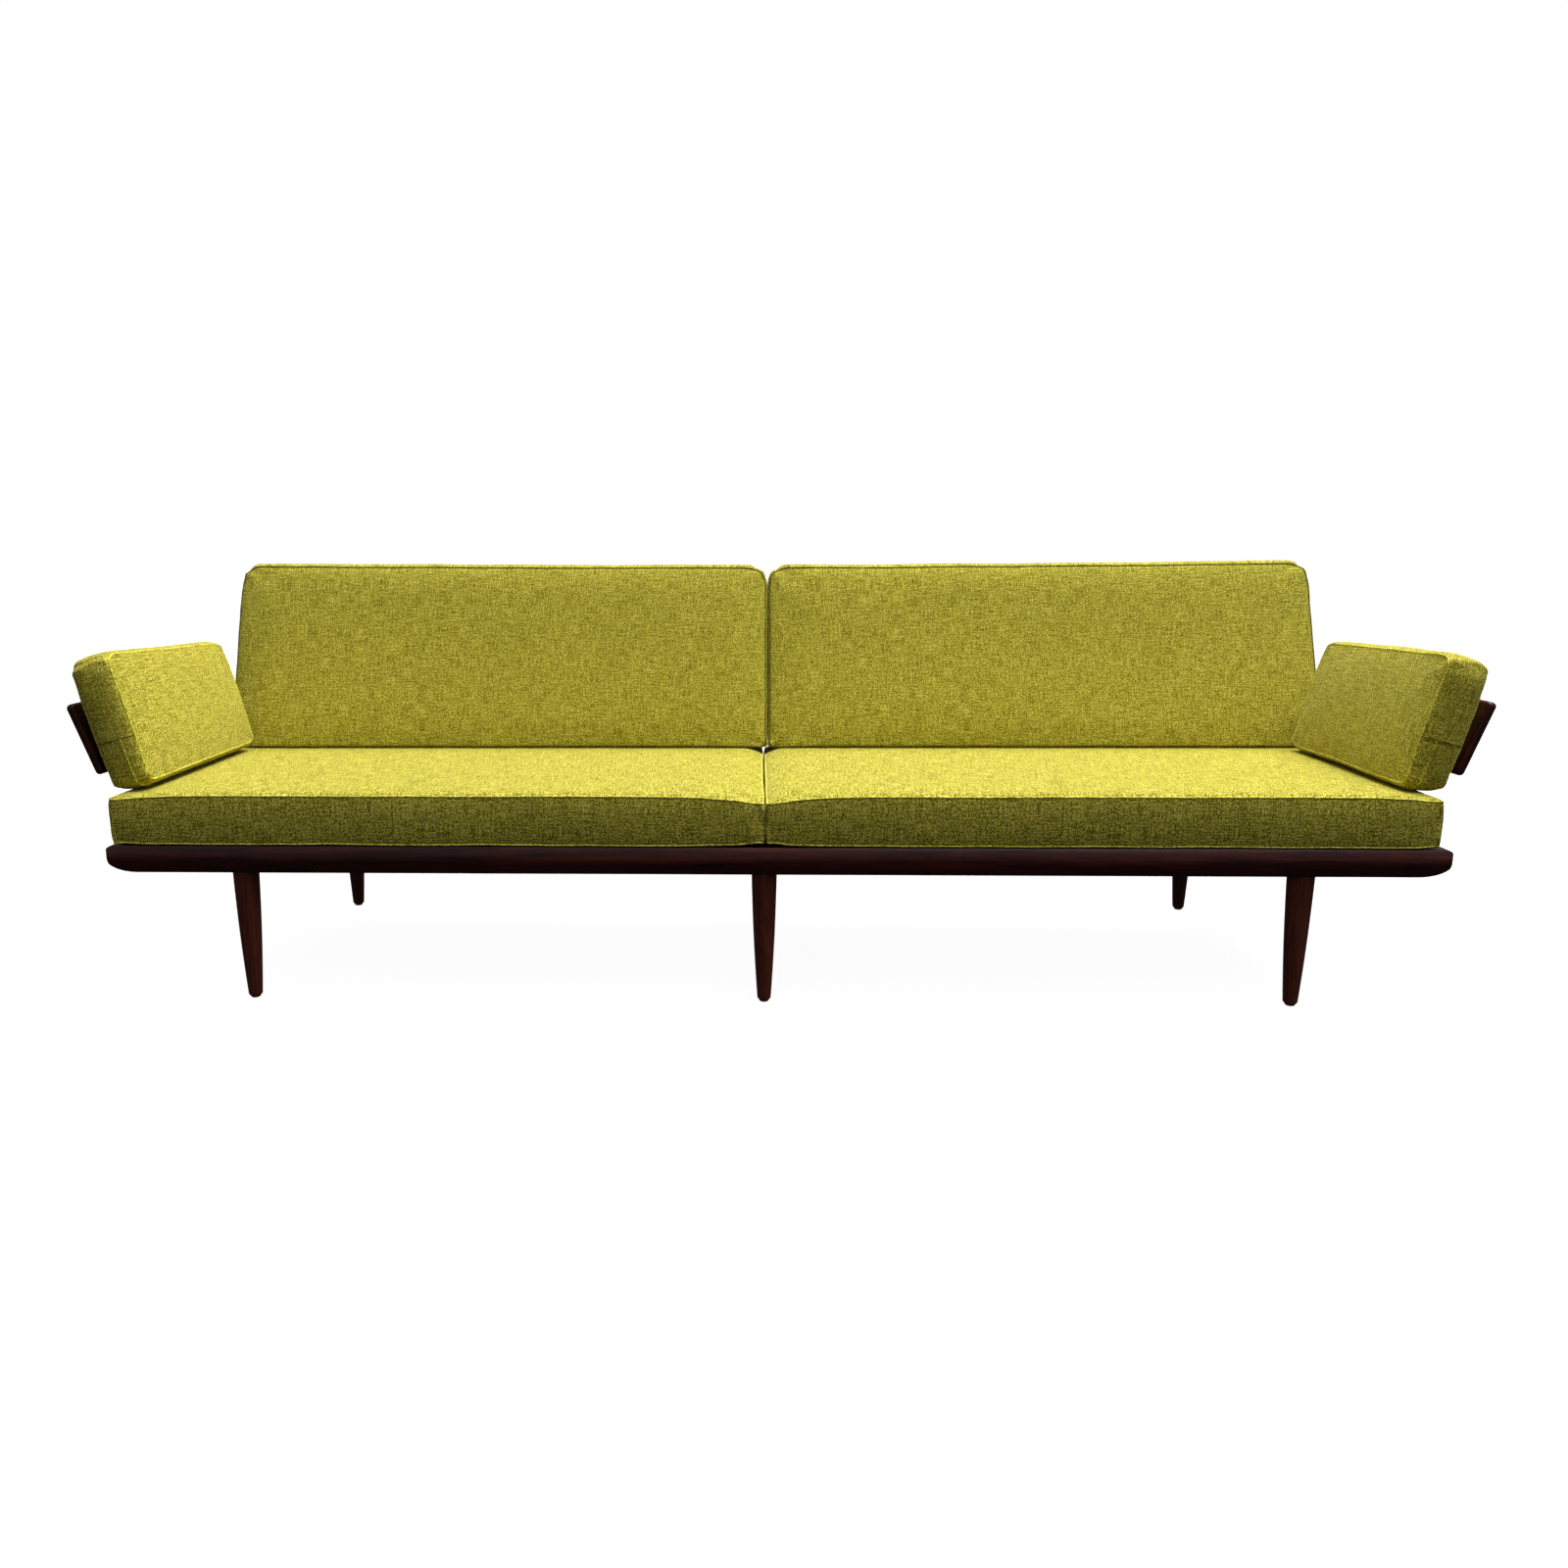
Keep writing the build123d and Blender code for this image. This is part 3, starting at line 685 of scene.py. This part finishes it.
def stitches(name, path, body):
    """Topstitching: short rounded threads, half sunk in the cloth, in one piece."""
    points = []
    faces = []
    ring = STITCH_SIDES
    for place, direction in zip(*resampled(path, STITCH_PITCH)):
        place, direction = Vector(place), Vector(direction)
        first = direction.orthogonal().normalized()
        second = direction.cross(first)
        base = len(points)
        for share, scale in STITCH_SHAPE:
            centre = place + direction * share * STITCH_LENGTH
            for index in range(ring):
                angle = 2 * math.pi * index / ring
                offset = first * math.cos(angle) + second * math.sin(angle)
                points.append(centre + offset * STITCH_RADIUS * scale)
        for step in range(len(STITCH_SHAPE) - 1):
            for index in range(ring):
                after = (index + 1) % ring
                low = base + step * ring
                faces.append((low + index, low + after, low + ring + after, low + ring + index))
        faces.append(tuple(base + index for index in reversed(range(ring))))
        last = base + ring * (len(STITCH_SHAPE) - 1)
        faces.append(tuple(last + index for index in range(ring)))
    mesh = bpy.data.meshes.new(name)
    mesh.from_pydata(points, [], faces)
    mesh.polygons.foreach_set("use_smooth", [True] * len(mesh.polygons))
    sewn_piece(name, mesh, THREAD, body)


def cord_piece(name, path, radius, body, closed, material):
    """A sewn line: a thin round strip along a path on a cushion, in the given material; the welts and seams
    get tweed with painted shadow on some and a painted highlight on others.
    """
    curve = bpy.data.curves.new(name, "CURVE")
    curve.dimensions = "3D"
    curve.bevel_depth = radius
    curve.bevel_resolution = 2
    curve.use_fill_caps = True
    spline = curve.splines.new("POLY")
    spline.points.add(len(path) - 1)
    for point, place in zip(spline.points, path):
        point.co = (*place, 1.0)
    spline.use_cyclic_u = closed
    sewn_piece(name, curve, material, body)


def axes(origin, u, v, w):
    """The matrix that takes local places to world ones."""
    matrix = Matrix.Identity(4)
    for column, vector in enumerate((u, v, w)):
        for row in range(3):
            matrix[row][column] = vector[row]
    for row in range(3):
        matrix[row][3] = origin[row]
    return matrix


def widened(side, box, inner, outer):
    """A cushion's box with its ends carried on a little, so that soft neighbours nearly touch."""
    low, high = (Vector(corner) for corner in box)
    if SIDES[side] > 0:
        low.x -= inner
        high.x += outer
    else:
        high.x += inner
        low.x -= outer
    return low, high


def seat_pad(side):
    """A seat cushion, square at the rims, with its panels flat but for a quick rise at the edge."""
    inner_reach, outer_reach = 0.0106, 0.002
    low, high = widened(side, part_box(f"seat_cushion_{side}"), inner_reach, outer_reach)
    corner = 0.008
    crown = 0.010  # before the slats and the back flatten it
    bulge = 0.004
    front_reach = 0.003
    top_crown = 0.0045
    rear_crown = 0.0024
    thick = high.z - low.z - top_crown - rear_crown
    middle = (low + high) / 2 - Vector((0, front_reach / 2, 0))
    middle.z = low.z + rear_crown + thick / 2
    place = axes(middle, Vector((1, 0, 0)), Vector((0, 1, 0)), Vector((0, 0, 1)))
    size = (high.x - low.x - 2 * bulge, high.y - low.y + front_reach - bulge, thick)
    name = f"seat_cushion_{side}_cover"
    return Pad(name, place, size, (corner, corner), crown, (bulge, 0.5 * bulge), roll=0.007)


def back_axes(side):
    """The leaning directions of a back: along it, up it, and out of its front."""
    joint = next(j for j in frame["joints"] if j["name"] == f"back_lift_{side}")
    up = Vector(joint["axis"]).normalized()
    along = Vector((1, 0, 0))
    return along, up, along.cross(up)


def back_pad(side):
    """A back cushion, leaning on the boards and standing on the seat on a flat foot."""
    inner_reach = 0.0062
    low, high = widened(side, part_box(f"back_cushion_{side}"), inner_reach, BACK_CARRIED_ON[side])
    along, up, front = back_axes(side)
    end_bulge = 0.005
    top_bulge = 0.013
    crown = 0.008
    thick = BACK_THICK - (1 + REAR_CROWN_SHARE) * crown
    foot = Vector(((low.x + high.x) / 2, low.y, low.z))
    foot_rise = 0.006
    height = BACK_HEIGHT - 0.004
    middle = foot + up * (foot_rise + height / 2) - front * (crown + thick / 2)
    size = (high.x - low.x - 2 * end_bulge, height, thick)
    place = axes(middle, along, up, front)
    corners = (0.013, 0.040)
    pad = Pad(f"back_cushion_{side}_cover", place, size, corners, crown, (end_bulge, top_bulge))
    pad.press_foot(math.atan2(up.y, up.z), hinge=1, reach=0.13)
    return pad


def arm_pad(side):
    """An arm cushion, leaning outward on its levers with its foot pressed on the seat's end."""
    low, high = (Vector(corner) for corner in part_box(f"arm_cushion_{side}"))
    sign = SIDES[side]
    inward = Vector((-sign * math.cos(ARM_LEAN), 0, math.sin(ARM_LEAN)))
    up = Vector((sign * math.sin(ARM_LEAN), 0, math.cos(ARM_LEAN)))
    along = up.cross(inward)
    corners = (0.020, 0.030)
    bulge = 0.008
    crown = 0.009
    longer, taller, behind = ARM_LONGER[side], 0.006, 0.006
    forward = 0.004
    length, height, depth = ARM_SIZE
    size = (length - 2 * bulge + longer, height - 2 * bulge + taller, depth - 1.5 * crown + behind)
    middle = (low + high) / 2 + up * (taller / 2) - inward * (0.25 * crown + behind / 2)
    middle.y += longer / 2 - forward
    place = axes(middle, along, up, inward)
    pad = Pad(f"arm_cushion_{side}_cover", place, size, corners, crown, (bulge, bulge))
    pad.press_foot(ARM_FOOT_SHEAR[side] * ARM_LEAN, hinge=-1, reach=0.12)
    return pad


PADS = {}
for side in SIDES:
    PADS["seat", side] = seat_pad(side)
    PADS["back", side] = back_pad(side)
    PADS["arm", side] = arm_pad(side)
for pad in PADS.values():
    pad.make_piece()

for pad in PADS.values():
    pad.add_cloth()
for step in range(1, SIM_FRAMES + 1):
    bpy.context.scene.frame_set(step)
    bpy.context.view_layer.update()
for (kind, _), pad in PADS.items():
    pad.take_cloth(CAPS[kind])
    pad.refit()
bpy.context.scene.frame_set(1)

SEAT_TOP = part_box("seat_cushion_left")[1][2]
SLAT_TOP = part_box("seat_slats_left")[1][2]
BACK_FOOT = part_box("back_cushion_left")[0][1]


def lay_on_slats(pad):
    """Rests a seat on the slats, with its top free to rise ahead of the back and between the arms."""
    back_ease, back_fade = 0.02, 0.06
    arm_start, arm_fade = 1.20, 0.10
    world = pad.to_world(pad.points)
    ahead = np.clip((BACK_FOOT - back_ease - world[:, 1]) / back_fade, 0, 1)
    between = np.clip((arm_start - abs(world[:, 0])) / arm_fade, 0, 1)
    pad.keep_within(SLAT_TOP + SLAT_GAP, SEAT_TOP + SEAT_SWELL * (ahead * between))


def lean_on_levers(pad):
    """Rests an arm cushion on the seat, and flattens its rear on the levers, which lean further."""
    pad.keep_within(SEAT_TOP + SEAT_GAP)
    ease, furthest = 0.0015, 0.0035
    rear = -pad.thick / 2
    lever_face = rear + ease - math.tan(LEVER_SLOPE) * (pad.points[:, 1] + pad.width / 2)
    pad.points[:, 2] = np.maximum(pad.points[:, 2], np.maximum(lever_face, rear - furthest))


def trim_ends(pad, kind, side):
    """Flattens a seat or a back at the middle of the bed, and limits its outer end."""
    left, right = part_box(f"{kind}_cushion_left"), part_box(f"{kind}_cushion_right")
    middle = (left[1][0] + right[0][0]) / 2
    outer = right[1][0] if side == "right" else -left[0][0]
    sign = SIDES[side]
    pad.keep_between(*sorted((middle + sign * MIDDLE_GAP, sign * (END_EASE[kind] + outer))))


for number, ((kind, side), pad) in enumerate(PADS.items()):
    inner = -SIDES[side]
    pad.soften_corners(CORNER_PINCH[kind])
    if kind == "seat":
        pad.settle(inner, dip=0.009, lift=0.005)
        pad.raise_front(amount=0.006, reach=0.10, ends=0.12)
    else:
        pad.tilt_top(inner, *TOP_DROPS[kind, side])
    pad.crease(3.7 * number + 1, SWAY, PUCKER[kind])
    pad.draw_in(pad.rings[0] + pad.rings[-1], SEAM_DEPTH[kind])
    if kind == "seat":
        lay_on_slats(pad)
    elif kind == "back":
        pad.keep_within(SEAT_TOP + SEAT_GAP, low_w=-pad.thick / 2 - REAR_CROWN_SHARE * pad.crown)
    else:
        lean_on_levers(pad)
    if kind != "arm":
        trim_ends(pad, kind, side)
    pad.finish(f"{kind}_{side}", f"{kind}_cushion_{side}")


def sew(kind, side):
    """The welt along each rim, darkened with painted shadow on the backs and lightened with a painted
    highlight elsewhere, with a row of topstitching beside it on an arm's panels.
    """
    pad = PADS[kind, side]
    body = f"{kind}_{side}"
    places = pad.surface()
    # The back welts get painted shadow, the others a painted highlight.
    cloth = SEAM_SHADOW if kind == "back" else WELT_PAINTED_HIGHLIGHT
    for rim_name, ring, panel in (("rear", pad.rings[0], pad.rear), ("front", pad.rings[-1], pad.front)):
        rim = places[ring]
        cord_piece(f"{body}_{rim_name}_welt", rim, WELT_RADIUS, body, True, cloth)
        if kind == "arm":
            inner = places[pad.inner_neighbours(panel)]
            row = rim * (1 - STITCH_INSET) + inner * STITCH_INSET
            stitches(f"{body}_{rim_name}_stitches", row, body)
    return places


def arm_seams(side, places):
    """The joined strips on the front end of an arm's boxing: one seam across, dark with painted shadow, and
    one running down, light with a painted highlight.
    """
    pad = PADS["arm", side]
    body = f"arm_{side}"
    count = len(pad.edge)
    halfway = pad.rings[BOXING_ROWS // 2]
    end_depth = 0.02
    foremost = places[:, 1].min() + end_depth
    front_end = [index for index in range(count) if places[halfway[index]][1] < foremost]
    heights = {index: pad.start[halfway[index]][1] for index in front_end}
    across = min(front_end, key=lambda index: abs(heights[index] + CROSS_SEAM_DROP))
    path = [places[ring[across]] for ring in pad.rings]
    cord_piece(f"{body}_cross_seam", path, CROSS_SEAM_RADIUS, body, False, SEAM_SHADOW)
    step = 1 if heights[(across + 1) % count] < heights[across] else -1
    ring = pad.rings[BOXING_ROWS // 2 + 1]
    path = [places[ring[(across + step * cell) % count]] for cell in range(DOWN_SEAM_CELLS)]
    cord_piece(f"{body}_down_seam", path, DOWN_SEAM_RADIUS, body, False, WELT_PAINTED_HIGHLIGHT)


for kind, side in PADS:
    sewn = sew(kind, side)
    if kind == "arm":
        arm_seams(side, sewn)


# ---------------------------------------------------------------- stage, lights, camera
def stage():
    """A wide pale floor. It takes shadows, and its bounce light is left out to keep the shade soft."""
    half = 60.0
    mesh = bpy.data.meshes.new("floor")
    corners = [(-half, -half, 0), (half, -half, 0), (half, half, 0), (-half, half, 0)]
    mesh.from_pydata(corners, [], [(0, 1, 2, 3)])
    floor = bpy.data.objects.new("floor", mesh)
    bpy.context.collection.objects.link(floor)
    material, _, shader = new_material("pale_floor")
    shader.inputs["Base Color"].default_value = (0.25, 0.25, 0.25, 1)
    shader.inputs["Roughness"].default_value = 0.9
    shader.inputs["Specular IOR Level"].default_value = 0.1
    shader.inputs["Emission Color"].default_value = (1, 1, 1, 1)
    shader.inputs["Emission Strength"].default_value = 0.955
    mesh.materials.append(material)
    floor.visible_diffuse = False
    floor.visible_glossy = False


def studio_world():
    """Soft white surroundings: a bright backdrop, gentle light from above and little from below."""
    world = bpy.data.worlds.new("studio")
    world.use_nodes = True
    tree = world.node_tree
    background = tree.nodes["Background"]
    direction = node(tree, "ShaderNodeTexCoord").outputs["Generated"]
    split = node(tree, "ShaderNodeSeparateXYZ")
    tree.links.new(direction, split.inputs["Vector"])
    rise = math_node(tree, "ADD", math_node(tree, "MULTIPLY", split.outputs["Z"], 0.5), 0.5)
    stops = ((0.0, BELOW_LIGHT), (0.46, BELOW_LIGHT), (0.60, SIDE_LIGHT), (1.0, ABOVE_LIGHT))
    around = ramp(tree, rise, stops)
    seen = node(tree, "ShaderNodeLightPath").outputs["Is Camera Ray"]
    tree.links.new(mix_colour(tree, seen, around, WHITE), background.inputs["Color"])
    background.inputs["Strength"].default_value = 1.0
    bpy.context.scene.world = world


def area_light(name, place, target, size, power):
    light = bpy.data.lights.new(name, "AREA")
    light.shape = "RECTANGLE"
    light.size, light.size_y = size
    light.energy = power
    lamp = bpy.data.objects.new(name, light)
    lamp.location = place
    lamp.rotation_euler = (Vector(target) - Vector(place)).to_track_quat("-Z", "Y").to_euler()
    bpy.context.collection.objects.link(lamp)


def camera():
    """The viewing angle: a little left of the middle, turned slightly left, looking down."""
    data = bpy.data.cameras.new("camera")
    data.lens = 27.15
    data.sensor_width = 36.0
    data.shift_x = 0.0466
    data.shift_y = -0.0099
    data.clip_end = 60
    shot = bpy.data.objects.new("camera", data)
    bpy.context.collection.objects.link(shot)
    yaw, pitch, roll = math.radians(-2.3125), math.radians(-10.499), math.radians(-0.3853)
    forward = Vector((math.sin(yaw) * math.cos(pitch), math.cos(yaw) * math.cos(pitch), math.sin(pitch)))
    right = Vector((math.cos(yaw), -math.sin(yaw), 0))
    up = right.cross(forward)
    tilted_right = right * math.cos(roll) + up * math.sin(roll)
    tilted_up = up * math.cos(roll) - right * math.sin(roll)
    frame_middle = (Vector(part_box("front_rail")[0]).y + Vector(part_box("rear_rail")[1]).y) / 2
    aside, distance, height = -0.0120, 2.4591, 0.8530
    place = Vector((aside, frame_middle - distance, height))
    shot.matrix_world = axes(place, tilted_right, tilted_up, -forward)
    bpy.context.scene.camera = shot


stage()
area_light("overhead", place=(2.6, 1.3, 9.0), target=(0, -0.05, 0.3), size=(10.4, 5.9), power=1840)
studio_world()
camera()
bpy.context.scene.view_settings.view_transform = "Standard"
